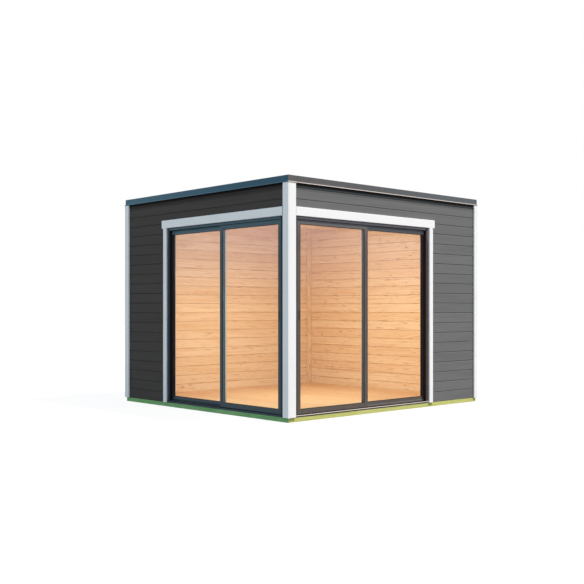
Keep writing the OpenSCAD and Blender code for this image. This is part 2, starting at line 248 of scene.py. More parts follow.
def bump(tree, shader, height, strength, distance):
    n = tree.nodes.new("ShaderNodeBump")
    n.inputs["Strength"].default_value = strength
    n.inputs["Distance"].default_value = distance
    put(tree, n.inputs["Height"], height)
    tree.links.new(n.outputs["Normal"], shader.inputs["Normal"])


def surface(tree, shader, colour, roughness, specular=0.5):
    """Gives the shader its colour, roughness and specular level."""
    put(tree, shader.inputs["Base Color"], colour)
    put(tree, shader.inputs["Roughness"], roughness)
    shader.inputs["Specular IOR Level"].default_value = specular


# ---- Wood ----

SPRUCE = {
    "pale": srgb(237, 206, 159),
    "deep": srgb(224, 179, 124),
    "line_tone": srgb(186, 130, 84),
    "knot_tone": srgb(126, 74, 42),
}

# These stand for the random number of a board on timbers that all have the same
SPRUCE_MARK = 0.37
BEAM_MARK = 0.61


def axes_of(tree, axis):
    """Object coordinates as (along, across, depth) of a board that runs along axis."""
    x, y, z = here(tree)
    return {"x": (x, z, y), "y": (y, z, x), "z": (z, x, y)}[axis]


def grain_of(tree):
    """Coordinates and random number that timber() stores on its boards."""
    n = tree.nodes.new("ShaderNodeAttribute")
    n.attribute_name = "grain"
    b = tree.nodes.new("ShaderNodeAttribute")
    b.attribute_name = "board"
    return (*separate(tree, n.outputs["Vector"]), b.outputs["Fac"])


def courses_up(tree):
    """Height above the foundation beams, in courses of logs."""
    _, _, z = here(tree)
    return calc(tree, "DIVIDE", minus(tree, z, BEAM_TOP), LOG_COVER)


def course_of(tree, seed):
    """A random number for each course of logs."""
    n = tree.nodes.new("ShaderNodeTexWhiteNoise")
    n.noise_dimensions = "1D"
    put(tree, n.inputs["W"], plus(tree, calc(tree, "FLOOR", courses_up(tree)), seed))
    return n.outputs["Value"]


def off_joint(tree):
    """Height off the nearest joint between courses of logs, in courses."""
    course = courses_up(tree)
    return calc(tree, "ABSOLUTE", minus(tree, course, calc(tree, "ROUND", course)))


def beyond_walls(tree):
    """Distance outside the rectangle of the logs' outer faces, negative inside it."""
    x, y, _ = here(tree)
    out_x = minus(tree, calc(tree, "ABSOLUTE", x), LOG_X)
    out_y = minus(tree, calc(tree, "ABSOLUTE", y), LOG_Y)
    return calc(tree, "MAXIMUM", out_x, out_y)


def stretched(tree, along, across, depth, board, stretch):
    """Coordinates squeezed along the grain, at a place of its own for each board."""
    return combine(
        tree,
        plus(tree, calc(tree, "DIVIDE", along, stretch), times(tree, board, 71.0)),
        across,
        plus(tree, depth, times(tree, board, 13.0)),
    )


def figure(tree, along, across, depth, board):
    """Wood figure: (streaks, growth lines, fibres, knots, resin lines), each from 0 to 1."""
    args = (along, across, depth, board)
    drift = noise(tree, stretched(tree, *args, 6.0), 5.0, 1.0, 0.5)
    flow = (along, plus(tree, across, times(tree, drift, 0.03)), depth, board)
    streaks = noise(tree, stretched(tree, *flow, 18.0), 24.0, 2.0, 0.55)
    fibres = noise(tree, stretched(tree, *args, 40.0), 420.0, 2.0, 0.6)
    resin = noise(tree, stretched(tree, *flow, 9.0), 60.0, 4.0, 0.68)
    spot = tree.nodes.new("ShaderNodeTexVoronoi")
    spot.voronoi_dimensions = "2D"
    spot.inputs["Scale"].default_value = 1.0
    knot_along = plus(tree, times(tree, along, 2.6), times(tree, board, 57.0))
    put(tree, spot.inputs["Vector"], combine(tree, knot_along, times(tree, across, 8.0), 0.0))
    near = spot.outputs["Distance"]
    chosen = below(tree, separate(tree, spot.outputs["Color"])[0], 0.16)
    knots = times(tree, ramp(tree, near, 0.06, 0.025), chosen)
    swirl = times(tree, ramp(tree, near, 0.42, 0.05), chosen)
    waves = noise(tree, stretched(tree, *args, 9.0), 7.0, 1.0, 0.4)
    bend = plus(tree, times(tree, waves, 9.0), times(tree, swirl, 1.6))
    ring = plus(tree, times(tree, across, 62.0), bend)
    line = calc(tree, "SINE", times(tree, ring, math.tau))
    return (
        ramp(tree, streaks, 0.42, 0.72),
        ramp(tree, line, 0.1, 1.0),
        fibres,
        knots,
        ramp(tree, resin, 0.59, 0.66),
    )


def wood_colour(tree, marks, board, pale, deep, line_tone, knot_tone):
    """Colour of bare wood from its figure, a little different on each board."""
    streaks, lines, fibres, knots, resin = marks
    body = mix(tree, ramp(tree, board, 0.0, 1.0, 0.0, 0.45), pale, deep)
    body = mix(tree, times(tree, streaks, 0.6), body, deep)
    body = mix(tree, times(tree, lines, 0.28), body, line_tone)
    body = mix(tree, ramp(tree, fibres, 0.35, 0.75, 0.0, 0.22), body, line_tone)
    body = mix(tree, times(tree, resin, 0.8), body, line_tone)
    return mix(tree, times(tree, knots, 0.7), body, knot_tone)


def spruce(name, axis=None, wall_shade_reach=0.0):
    """Bare planed spruce, its grain along an axis, or as timber() stored it. wall_shade_reach
    is how near the left and back walls it has a dark line of painted shade, in the joint where
    it meets them."""
    material, tree, shader = new_tree(name)
    grain = (*axes_of(tree, axis), SPRUCE_MARK) if axis else grain_of(tree)
    marks = figure(tree, *grain)
    body = wood_colour(tree, marks, grain[3], **SPRUCE)
    if wall_shade_reach:
        # Painted shade: a dark line along the faces next to the left and back walls.
        x, y, _ = here(tree)
        near = either(tree, below(tree, x, ROOM_LO.x + wall_shade_reach), above(tree, y, ROOM_HI.y - wall_shade_reach))
        body = mix(tree, times(tree, near, 0.45), body, SPRUCE["knot_tone"])
    surface(tree, shader, body, 0.55, 0.3)
    bump(tree, shader, plus(tree, marks[1], marks[2]), 0.25, 0.0004)
    return material


def deck_wood():
    """Roof boards: bare spruce over the room, and near-black where they stand out over the
    walls: a stain darkened further as painted shade of the eaves.
    """
    material, tree, shader = new_tree("spruce_deck")
    grain = grain_of(tree)
    marks = figure(tree, *grain)
    bare = wood_colour(tree, marks, grain[3], **SPRUCE)
    # Near-black over the walls: stain, darker than the logs' stain as painted shade under the
    # eaves.
    stained = mix(tree, marks[2], srgb(26, 26, 26), srgb(38, 38, 38))
    eave_stain_and_shade = above(tree, beyond_walls(tree), -DECK_STAIN_AND_SHADE_REACH)
    surface(tree, shader, mix(tree, eave_stain_and_shade, bare, stained), 0.6, 0.2)
    bump(tree, shader, plus(tree, marks[1], marks[2]), 0.25, 0.0004)
    return material


def log_wood(name, axis, outside, face, stain, seed, beside=None):
    """Logs of one wall: spruce in the room, and grey stain on the skin that faces
    outwards. outside is the axis that leads out with its sign, and face is where the
    outer face is on it. beside is the y of a corner board's edge, along which the stain
    takes a painted shadow line of the board. Painted shade also darkens the joints
    between courses and the top under the eaves, and painted light lightens the
    undersides of the grooves."""
    material, tree, shader = new_tree(name)
    along, across, depth = axes_of(tree, axis)
    board = course_of(tree, seed)
    marks = figure(tree, along, across, depth, board)
    streaks, lines, fibres, knots, _ = marks
    off = off_joint(tree)
    # Painted shade in the V-grooves: a darker line along each joint between courses.
    joint = ramp(tree, off, 0.035, 0.01)

    bare = wood_colour(tree, marks, board, **SPRUCE)
    # Painted light: faces that look down, the lower chamfers of the grooves, are lightened
    # against their shade.
    underside_painted_light = ramp(tree, upward(tree), -0.1, -0.6, 0.0, 0.6)
    bare = mix(tree, underside_painted_light, bare, SPRUCE["pale"])
    bare = mix(tree, times(tree, joint, 0.4), bare, SPRUCE["line_tone"])
    tears = noise(tree, stretched(tree, along, across, depth, board, 5.0), 34.0, 3.0, 0.65)
    tears = times(tree, ramp(tree, tears, 0.54, 0.60), ramp(tree, off, 0.085, 0.02))
    bare = mix(tree, times(tree, tears, 0.65), bare, SPRUCE["line_tone"])

    dark = tinted(stain, 0.80)
    stained = mix(tree, board, stain, tinted(stain, 1.12))
    stained = mix(tree, times(tree, streaks, 0.4), stained, dark)
    stained = mix(tree, ramp(tree, fibres, 0.4, 0.8, 0.0, 0.4), stained, dark)
    stained = mix(tree, times(tree, knots, 0.3), stained, dark)
    # The stain is darkened along the joints too, as painted shade in the V-grooves.
    stained = mix(tree, times(tree, joint, 0.6), stained, tinted(stain, 0.5))
    x, y, z = here(tree)
    # Painted shade under the eaves, with a darker painted shadow line just under the trim.
    shade = ramp(tree, z, *(WALL_TOP - d for d in EAVE_SHADE), 0.0, 0.4)
    stained = mix(tree, shade, stained, tinted(stain, 0.3))
    line = ramp(tree, z, *(WALL_TOP - d for d in EAVE_LINE))
    stained = mix(tree, line, stained, tinted(stain, 0.08))
    # Painted shadow of the corner board: a dark line on the stain along its edge.
    if beside:
        line = above(tree, y, beside - BOARD_SHADOW_WIDTH)
        stained = mix(tree, line, stained, tinted(stain, 0.25))

    out = x if outside[1] == "x" else y
    if outside[0] == "-":
        out = times(tree, out, -1.0)
    skin = above(tree, out, face - STAIN_DEPTH)
    roughness = ramp(tree, skin, 0.0, 1.0, 0.55, 0.68)
    surface(tree, shader, mix(tree, skin, bare, stained), roughness, 0.1)
    bump(tree, shader, plus(tree, lines, fibres), 0.3, 0.0005)
    return material


def treated(name):
    """Pressure-treated foundation timber, rough sawn. The outer faces of the beams on the
    front and left, which stand in shade, take a darker, greener copy of the colour as painted
    shade."""
    material, tree, shader = new_tree(name)
    x, y, z = here(tree)
    along_x = above(tree, calc(tree, "ABSOLUTE", y), LOG_Y - BEAM_BAND)
    along = plus(tree, times(tree, x, along_x), times(tree, y, minus(tree, 1.0, along_x)))
    grain = (along, z, minus(tree, plus(tree, x, y), along), BEAM_MARK)
    _, lines, fibres, knots, _ = figure(tree, *grain)
    blotch = noise(tree, stretched(tree, *grain, 3.0), 9.0, 3.0, 0.6)
    blotch = ramp(tree, blotch, 0.3, 0.7)
    # Painted shade: the front and left faces get the darker, greener tones.
    shaded_sides = either(tree, below(tree, y, -LOG_Y + 0.0005), below(tree, x, -LOG_X + 0.0005))
    body = mix(tree, blotch, srgb(204, 204, 130), srgb(186, 190, 112))
    green = mix(tree, blotch, srgb(150, 198, 132), srgb(128, 182, 118))
    body = mix(tree, shaded_sides, body, green)
    figure_and_shade_tone = mix(tree, shaded_sides, srgb(160, 162, 90), srgb(98, 142, 92))
    body = mix(tree, times(tree, lines, 0.35), body, figure_and_shade_tone)
    body = mix(tree, ramp(tree, fibres, 0.35, 0.75, 0.0, 0.4), body, figure_and_shade_tone)
    body = mix(tree, times(tree, knots, 0.6), body, figure_and_shade_tone)
    surface(tree, shader, body, 0.8, 0.1)
    bump(tree, shader, plus(tree, lines, fibres), 0.5, 0.001)
    return material


# ---- Places on the doors and the roof trim with a tone of their own, most of them painted light and shade ----


def span(side, name):
    """(u0, u1), (v0, v1) and (z0, z1) of a node on a glazed face."""
    lo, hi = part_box(side + "_" + name)
    if side == "front":
        return (LOG_X - hi.x, LOG_X - lo.x), (lo.y + LOG_Y, hi.y + LOG_Y), (lo.z, hi.z)
    return (lo.y + LOG_Y, hi.y + LOG_Y), (LOG_X - hi.x, LOG_X - lo.x), (lo.z, hi.z)


def on_face(side, u, v, z):
    """The point (u, v, z) of a glazed face."""
    if side == "front":
        return Vector((LOG_X - u, -LOG_Y + v, z))
    return Vector((LOG_X - v, -LOG_Y + u, z))


def face_place(tree, side):
    """The object's own coordinates as (u, v, z) of a glazed face."""
    x, y, z = here(tree)
    if side == "right":
        return plus(tree, y, LOG_Y), minus(tree, LOG_X, x), z
    return minus(tree, LOG_X, x), plus(tree, y, LOG_Y), z


def nose_highlight(tree, side):
    """Painted highlight on the upper edge of the drip nose, where the sun catches it."""
    _, v, z = face_place(tree, side)
    upper = between(tree, z, NOSE_TOP - NOSE_EDGE, NOSE_TOP)
    return times(tree, below(tree, v, NOSE_V), upper)


def bare_rail(tree, side):
    """Mill-finished top of the rail that the rollers run on."""
    _, v, z = face_place(tree, side)
    off = calc(tree, "ABSOLUTE", minus(tree, v, RAIL_V))
    low = between(tree, z, RAIL_TOP - RAIL_H, RAIL_TOP)
    return times(tree, below(tree, off, RAIL_HALF), low)


def recess_shade(tree, side):
    """Painted shade inside the frame, behind its outer lip, up to the step of its sill."""
    _, v, _ = face_place(tree, side)
    return between(tree, v, LIP_BACK, STEP_V)


def lip_shade(tree, side):
    """Painted shade on the upright lips of the frame, at the corner and at the far jamb."""
    u, _, _ = face_place(tree, side)
    return either(tree, below(tree, u, NEAR_LIP), between(tree, u, *FAR_LIP))


def under_header(tree, side):
    """Shadow line on the frame's outer lip, close under the header board."""
    _, v, z = face_place(tree, side)
    return times(tree, above(tree, z, HEADER_LOW - HEADER_LINE), below(tree, v, LIP_BACK))


def glass_edge_shade(tree, side):
    """Painted shade: a dark band on the sliding panel's meeting stile, beside the glass."""
    (_, edge), _, (z0, z1) = span(side, "sliding_glass")
    edge -= GLASS_BITE
    u, v, z = face_place(tree, side)
    groove = between(tree, u, edge - 0.001, edge + GLASS_SHADE_WIDTH)
    upright = between(tree, z, z0 + GLASS_BITE, z1 - GLASS_BITE)
    return times(tree, times(tree, groove, upright), below(tree, v, STEP_V))


def far_stile(tree, side):
    """Painted shade on the fixed panel's stile at the far jamb."""
    u, _, _ = face_place(tree, side)
    return above(tree, u, FAR_STILE)


def lit_inner_edge(tree, side):
    """Painted light on the inner half of that stile's edge, behind the glass."""
    u, v, _ = face_place(tree, side)
    return times(tree, between(tree, u, FAR_STILE, FAR_EDGE), above(tree, v, FIXED_MIDDLE))


def fixed_band(tree, side, z0, z1):
    """A band of the fixed panel between two heights, which takes a tone of painted light and
    shade.
    """
    _, v, z = face_place(tree, side)
    return times(tree, between(tree, z, z0, z1), above(tree, v, FIXED_V))


def head_sky_light(tree):
    """Heads and top rails, which take a lighter tone as painted sky light."""
    _, _, z = here(tree)
    return ramp(tree, z, *HEAD_FADE)


def along_edge_shading(tree, axis):
    """From 0 at one end of the roof trim to 1 at the other, for painted light and shade that
    changes along it.
    """
    x, y, _ = here(tree)
    return ramp(tree, x if axis == "x" else y, -1.5, 1.5)


def upper_face(tree):
    """Flat top of the roof trim."""
    return above(tree, upward(tree), 0.9)


def lip_highlight(tree):
    """Painted highlight on the roof trim's drip lip, where the sun catches it."""
    return above(tree, beyond_walls(tree), EAVE + TRIM_T + 0.0045)


# ---- Paint, metal, glass and membrane ----


def white_paint():
    """Opaque white paint on planed boards, with upright brush marks."""
    material, tree, shader = new_tree("white_paint")
    x, y, z = here(tree)
    squeezed = combine(tree, times(tree, x, 30.0), times(tree, y, 30.0), z)
    upright = noise(tree, squeezed, 12.0, 3.0, 0.6)
    soil = noise(tree, place(tree), 3.0, 4.0, 0.6)
    body = mix(tree, ramp(tree, upright, 0.3, 0.7), srgb(235, 235, 233), srgb(228, 229, 228))
    body = mix(tree, ramp(tree, soil, 0.5, 0.8, 0.0, 0.4), body, srgb(219, 220, 217))
    surface(tree, shader, body, 0.45)
    bump(tree, shader, upright, 0.2, 0.0003)
    return material


def powder_coat(name, colour, roughness, specular, parts=()):
    """Powder-coated metal: a fine orange-peel surface with a little dust. Each of parts
    lays a tone over it, most of them painted light and shade: it is a function that
    gives the part's mask, what the function takes after the tree, and the tone."""
    material, tree, shader = new_tree(name)
    peel = noise(tree, place(tree), 900.0, 2.0, 0.5)
    dust = noise(tree, place(tree), 5.0, 4.0, 0.65)
    body = mix(tree, ramp(tree, dust, 0.4, 0.75), colour, tinted(colour, 1.18))
    for mask, *taken, tone in parts:
        body = mix(tree, mask(tree, *taken), body, tone)
    dusty = ramp(tree, dust, 0.3, 0.8, roughness, roughness + 0.12)
    surface(tree, shader, body, dusty, specular)
    bump(tree, shader, peel, 0.15, 0.0002)
    return material


def glass_material(name, low, high, sky):
    """Clear glass with a painted reflection of the sky, stronger the higher one looks through
    it:
    low and high are how much of it near the floor and at the head, and sky its two tones."""
    material, tree, shader = new_tree(name)
    _, _, z = here(tree)
    reflection_mottle = noise(tree, place(tree), 2.0, 3.0, 0.5)
    put(tree, shader.inputs["Alpha"], ramp(tree, z, 1.0, 2.0, low, high))
    surface(tree, shader, mix(tree, reflection_mottle, *sky), 0.03)
    return material


def membrane_material():
    """Bitumen felt with a mineral face."""
    material, tree, shader = new_tree("roof_membrane")
    grit = noise(tree, place(tree), 700.0, 2.0, 0.7)
    stain = noise(tree, place(tree), 2.2, 5.0, 0.6)
    body = mix(tree, ramp(tree, grit, 0.35, 0.65), srgb(46, 47, 49), srgb(82, 83, 86))
    body = mix(tree, ramp(tree, stain, 0.45, 0.75, 0.0, 0.5), body, srgb(58, 58, 56))
    surface(tree, shader, body, 0.9)
    bump(tree, shader, grit, 0.6, 0.001)
    return material


def plain(name, low, high, scale, roughness, specular=0.2):
    """Rubber, pile or painted steel: two close tones in a fine noise."""
    material, tree, shader = new_tree(name)
    fine = noise(tree, place(tree), scale, 2.0, 0.5)
    surface(tree, shader, mix(tree, fine, low, high), roughness, specular)
    return material


# ---- The looks of each node ----

# One grey stain in three tones: darker and warmer on the front as painted shade, lighter on
# the right as painted sunlight, and a middle tone on the back and left.
STAIN_SUNLIT_RIGHT = srgb(104, 105, 104)
STAIN_SHADED_FRONT = srgb(69, 65, 62)
STAIN_HIDDEN = srgb(90, 89, 88)

BARE_RAIL = srgb(150, 150, 150)
NOSE_HIGHLIGHT = srgb(196, 190, 182)
LIP_HIGHLIGHT = srgb(168, 160, 154)
TRIM_TOP = srgb(64, 80, 90)

# Door metal in two tones: the front's cool dark tones are painted shade with sky light, the
# right's warmer ones the sunlit copy. Most other entries are painted light and shade on parts.
DOOR_TONES = {
    "front": {
        "frame": srgb(60, 74, 82),
        "frame_head_sky_light": srgb(74, 100, 110),
        "lips_shade": srgb(42, 50, 56),
        "recess_shade": srgb(29, 31, 34),
        "header_shadow": srgb(14, 20, 24),
        "panel": srgb(66, 80, 86),
        "panel_head_sky_light": srgb(74, 98, 106),
        "far_stile": srgb(46, 52, 56),
        "lit_inner_edge": srgb(140, 112, 90),
        "low_rail_light_and_shade": srgb(42, 58, 68),
        "top_rail": srgb(92, 118, 130),
        "groove": srgb(8, 12, 15),
    },
    "right": {
        "frame": srgb(76, 66, 63),
        "frame_head_sky_light": srgb(122, 114, 119),
        "lips_shade": srgb(68, 56, 53),
        "recess_shade": srgb(60, 39, 36),
        "header_shadow": srgb(40, 28, 28),
        "panel": srgb(86, 80, 76),
        "panel_head_sky_light": srgb(98, 96, 97),
        "far_stile": srgb(66, 54, 52),
        "lit_inner_edge": srgb(96, 74, 58),
        "low_rail_light_and_shade": srgb(118, 115, 110),
        "top_rail": srgb(122, 122, 125),
        "groove": srgb(8, 9, 10),
    },
}


def door_metals(side):
    """Materials of the frame and of the panels of a door."""
    tones = DOOR_TONES[side]
    frame_parts = [
        (head_sky_light, tones["frame_head_sky_light"]),
        (lip_shade, side, tones["lips_shade"]),
        (recess_shade, side, tones["recess_shade"]),
        (bare_rail, side, BARE_RAIL),
    ]
    # Only the sunlit right door gets the painted highlight on its sill nose.
    if side == "right":
        frame_parts.append((nose_highlight, side, NOSE_HIGHLIGHT))
    frame_parts.append((under_header, side, tones["header_shadow"]))
    panel_parts = [
        (head_sky_light, tones["panel_head_sky_light"]),
        (far_stile, side, tones["far_stile"]),
        (lit_inner_edge, side, tones["lit_inner_edge"]),
        (fixed_band, side, *LOW_RAIL[side], tones["low_rail_light_and_shade"]),
        (fixed_band, side, *TOP_RAIL, tones["top_rail"]),
        (glass_edge_shade, side, tones["groove"]),
    ]
    return (
        powder_coat("frame_metal_" + side, tones["frame"], 0.42, 0.12, frame_parts),
        powder_coat("panel_metal_" + side, tones["panel"], 0.42, 0.12, panel_parts),
    )


def is_upright_board(name):
    return name.startswith("corner_board") or name.endswith("jamb_board")


def is_white_board(name):
    return is_upright_board(name) or name.endswith("header_board")


def dress(name, material):
    """Gives a CAD node its material."""
    for slot in nodes[name].material_slots:
        slot.material = material


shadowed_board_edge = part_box("corner_board_right_back")[0].y
looks = {
    "back_wall": log_wood("logs_back", "x", "+y", LOG_Y, STAIN_HIDDEN, 11.0),
    "left_wall": log_wood("logs_left", "y", "-x", LOG_X, STAIN_HIDDEN, 47.0),
    "front_wall": log_wood("logs_front", "x", "-y", LOG_Y, STAIN_SHADED_FRONT, 83.0),
    "right_wall": log_wood("logs_right", "y", "+x", LOG_X, STAIN_SUNLIT_RIGHT, 29.0, shadowed_board_edge),
}
looks["front_lintel"] = looks["front_wall"]
looks["right_lintel"] = looks["right_wall"]
spruce_boards = spruce("spruce_boards")
looks["inner_corner_battens"] = spruce("spruce_upright", "z", 0.006)
looks["roof_purlins"] = spruce("spruce_purlins", "y")
spruce_deck = deck_wood()
looks["foundation_beams"] = looks["floor_joists"] = treated("treated_beams")
paint = white_paint()
frame_metal, panel_metal = {}, {}
for side in GLAZED:
    frame_metal[side], panel_metal[side] = door_metals(side)
# One trim metal in two tones: teal on the front and left as painted shade with sky light, grey
# on the right and back as the sunlit copy.
trim_metal = {
    "front": powder_coat(
        "trim_metal_shaded_front", srgb(66, 103, 118), 0.38, 0.12,
        [(along_edge_shading, "x", srgb(52, 88, 106)), (upper_face, TRIM_TOP)],
    ),
    # Only the sunlit right and back trim get the painted highlight on the drip lip.
    "right": powder_coat(
        "trim_metal_sunlit_right", srgb(88, 87, 87), 0.38, 0.12,
        [(along_edge_shading, "y", srgb(88, 94, 98)), (upper_face, TRIM_TOP), (lip_highlight, LIP_HIGHLIGHT)],
    ),
}
pull_metal = powder_coat("pull_metal", srgb(44, 44, 46), 0.35, 0.3)
# The shaded front's glass takes a stronger, pinker painted reflection than the sunlit right's.
door_glass = {
    "front": glass_material(
        "door_glass_front", 0.035, 0.17, (srgb(218, 200, 226), srgb(226, 208, 230))
    ),
    "right": glass_material(
        "door_glass_right", 0.015, 0.09, (srgb(184, 186, 220), srgb(194, 194, 222))
    ),
}
membrane = membrane_material()
looks["roof_membrane"] = looks["roof_edge_battens"] = membrane
brush_pile = plain("brush_pile", srgb(14, 14, 15), srgb(26, 26, 27), 900.0, 0.9, 0.05)
gasket = plain("gasket_rubber", srgb(26, 26, 27), srgb(38, 38, 39), 260.0, 0.6, 0.1)
# One grey rubber in two tones, lighter at the front and darker at the right, as painted light
# and shade.
grey_rubber = {
    "front": plain(
        "interlock_rubber_front", srgb(150, 154, 142), srgb(160, 163, 151), 700.0, 0.85, 0.1
    ),
    "right": plain(
        "interlock_rubber_right", srgb(116, 113, 104), srgb(124, 121, 112), 700.0, 0.85, 0.1
    ),
}
screw_paint = plain("screw_heads", srgb(214, 215, 214), srgb(226, 227, 226), 400.0, 0.5)

for name in nodes:
    side = "front" if name.startswith("front") else "right"
    if is_white_board(name) or name == "corner_post":
        dress(name, paint)
    elif name in ("edge_trim_front", "edge_trim_left"):
        dress(name, trim_metal["front"])
    elif name.startswith("edge_trim"):
        dress(name, trim_metal["right"])
    elif name.endswith("door_frame"):
        dress(name, frame_metal[side])
    elif name.endswith("_panel"):
        dress(name, panel_metal[side])
    elif name.endswith("_glass"):
        dress(name, door_glass[side])
    elif name.endswith(("_rollers", "door_pull")):
        dress(name, pull_metal)
    elif name in looks:
        dress(name, looks[name])

# ---- New pieces ----


def block(target, lo, hi):
    """Adds a box between two corners to the bmesh target, and returns its vertices."""
    made = bmesh.ops.create_cube(target, size=1.0)["verts"]
    for v in made:
        v.co = Vector([v.co[i] * (hi[i] - lo[i]) + (hi[i] + lo[i]) / 2 for i in range(3)])
    return made


def blank():
    """A bmesh with the layers that timber() fills."""
    target = bmesh.new()
    target.verts.layers.float_vector.new("grain")
    target.verts.layers.float.new("board")
    return target


def timber(target, lo, hi, ease, pick):
    """Adds a board with eased edges to the bmesh target. Its grain runs along X, and it
    keeps its own grain coordinates and random number."""
    board = blank()
    grain = board.verts.layers.float_vector["grain"]
    number = board.verts.layers.float["board"]
    block(board, lo, hi)
    bmesh.ops.bevel(
        board, geom=board.edges[:], offset=ease, segments=2, profile=0.6, affect="EDGES"
    )
    mark = pick.random()
    for v in board.verts:
        v[grain] = v.co
        v[number] = mark
    mesh = bpy.data.meshes.new("board")
    board.to_mesh(mesh)
    board.free()
    target.from_mesh(mesh)
    bpy.data.meshes.remove(mesh)


def strip(target, side, low, high, ease=0.0):
    """Adds a box between two (u, v, z) corners on a glazed face."""
    a = on_face(side, *low)
    b = on_face(side, *high)
    made = block(
        target, [min(a[i], b[i]) for i in range(3)], [max(a[i], b[i]) for i in range(3)]
    )
    if ease:
        edges = list({e for v in made for e in v.link_edges})
        bmesh.ops.bevel(target, geom=edges, offset=ease, segments=1, affect="EDGES")


def new_object(name, data):
    """A new object in the scene."""
    made = bpy.data.objects.new(name, data)
    bpy.context.scene.collection.objects.link(made)
    return made


def finish_piece(name, target, material, body="cabin"):
    """Turns a bmesh into a shown piece on a body."""
    mesh = bpy.data.meshes.new(name)
    target.to_mesh(mesh)
    target.free()
    mesh.materials.append(material)
    piece = new_object(name, mesh)
    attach(piece, body)
    return piece


def floor_boards():
    """Tongue-and-groove floor boards along X, stopped at the notches of both doors."""
    cover, gap, ease, clear = 0.113, 0.0012, 0.0015, 0.001
    pick = random.Random(4)
    front_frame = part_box("front_door_frame")
    right_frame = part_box("right_door_frame")
    y_notch = front_frame[1].y + clear
    x_notch = right_frame[0].x - clear
    left_end = front_frame[0].x - clear
    back_end = right_frame[1].y + clear
    edges = [ROOM_LO.y, y_notch]
    while edges[-1] < ROOM_HI.y - 1e-6:
        step = edges[-1] + cover
        if edges[-1] < back_end - 0.02 < step:
            step = back_end
        edges.append(min(step, ROOM_HI.y))
    target = blank()
    for y0, y1 in zip(edges, edges[1:]):
        x1 = ROOM_HI.x
        if y1 < y_notch + 1e-6:
            x1 = left_end
        elif y0 < back_end - 1e-6:
            x1 = x_notch
        lo = (ROOM_LO.x, y0 + gap / 2, ROOM_LO.z)
        timber(target, lo, (x1, y1 - gap / 2, ROOM_HI.z), ease, pick)
    piece = finish_piece("floor_planks", target, spruce_boards)
    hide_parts("floor_boards")


def roof_deck():
    """Roof boards along X, seen from the room."""
    cover, gap, ease = 0.096, 0.0012, 0.002
    pick = random.Random(9)
    lo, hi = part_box("roof_boards")
    target = blank()
    count = round((hi.y - lo.y) / cover)
    step = (hi.y - lo.y) / count
    for i in range(count):
        y0 = lo.y + i * step
        y1 = y0 + step
        timber(target, (lo.x, y0 + gap / 2, lo.z), (hi.x, y1 - gap / 2, hi.z), ease, pick)
    piece = finish_piece("roof_deck_boards", target, spruce_deck)
    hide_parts("roof_boards")


def felt_laps():
    """Lap edges of the roof felt, laid in strips along X."""
    count, lap, thick, back = 3, 0.08, 0.0025, 0.001
    pick = random.Random(17)
    lo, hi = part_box("roof_membrane")
    target = blank()
    step = (hi.y - lo.y) / count
    for i in range(count):
        y0 = lo.y + i * step
        y1 = min(hi.y, y0 + step + lap)
        z0 = hi.z + (0.0 if i % 2 == 0 else thick)
        high = (hi.x - 2 * back, y1 - back, z0 + thick)
        timber(target, (lo.x + 2 * back, y0 + back, z0), high, 0.001, pick)
    finish_piece("roof_felt_strips", target, membrane)


def brush_seals(side):
    """Brush seals behind the lips of a door frame, just clear of the sliding panel."""
    (u0, _), (v_panel, _), (_, z1) = span(side, "sliding_panel")
    u1 = span(side, "fixed_panel")[0][1] - PANEL_BITE
    u0 += PANEL_BITE
    z1 -= PANEL_BITE
    show, bed = 0.004, 0.008
    v0, v1 = FRAME_WALL, v_panel - 0.0008
    target = bmesh.new()
    for edge, inner in ((u0, 1), (u1, -1)):
        strip(target, side, (edge - inner * bed, v0, SILL_LIP), (edge + inner * show, v1, z1))
    strip(target, side, (u0, v0, z1 - show), (u1, v1, z1 + bed))
    strip(target, side, (u0, v0, SILL_LIP - 0.006), (u1, v1, SILL_LIP + 0.008))
    finish_piece(side + "_brush_seals", target, brush_pile)


def gaskets(side, panel, body):
    """Rubber round the edge of a glass, on both faces of it. The sliding panel has it wider
    at its jamb stile, and grey along its meeting stile."""
    (u0, u1), (v0, v1), (z0, z1) = span(side, panel + "_glass")
    slides = panel == "sliding"
    width, thick = 0.0035, 0.0022
    jamb, meeting = (0.007, 0.005) if slides else (width, width)
    u0, u1 = u0 + GLASS_BITE, u1 - GLASS_BITE
    z0, z1 = z0 + GLASS_BITE, z1 - GLASS_BITE
    target = bmesh.new()
    grey = bmesh.new() if slides else target
    for va, vb in ((v0 - thick, v0), (v1, v1 + thick)):
        strip(target, side, (u0, va, z0), (u1, vb, z0 + width))
        strip(target, side, (u0, va, z1 - width), (u1, vb, z1))
        strip(target, side, (u0, va, z0 + width), (u0 + jamb, vb, z1 - width))
        strip(grey, side, (u1 - meeting, va, z0 + width), (u1, vb, z1 - width))
    finish_piece(side + "_" + panel + "_gasket", target, gasket, body)
    if slides:
        finish_piece(side + "_meeting_gasket", grey, grey_rubber[side], body)


def interlock(side):
    """Where the panels meet: a fin on the sliding stile's far edge, and a bulb of grey
    rubber on the fixed stile's edge, behind the sliding glass."""
    fin, bulb, clear = 0.009, 0.029, 0.002
    (_, u1), (v0, v1), (z0, z1) = span(side, "sliding_panel")
    (u2, _), (v2, v3), _ = span(side, "fixed_panel")
    z0, z1 = z0 + PANEL_BITE + clear, z1 - PANEL_BITE - clear
    target = bmesh.new()
    strip(target, side, (u1, v0 + 0.0005, z0), (u1 + fin, v1 - 0.004, z1), 0.0008)
    finish_piece(side + "_interlock_fin", target, panel_metal[side], side + "_sliding_door")
    target = bmesh.new()
    strip(target, side, (u2 - bulb, v2 + clear, z0), (u2, v3 - clear, z1), 0.003)
    finish_piece(side + "_interlock_bulb", target, grey_rubber[side])


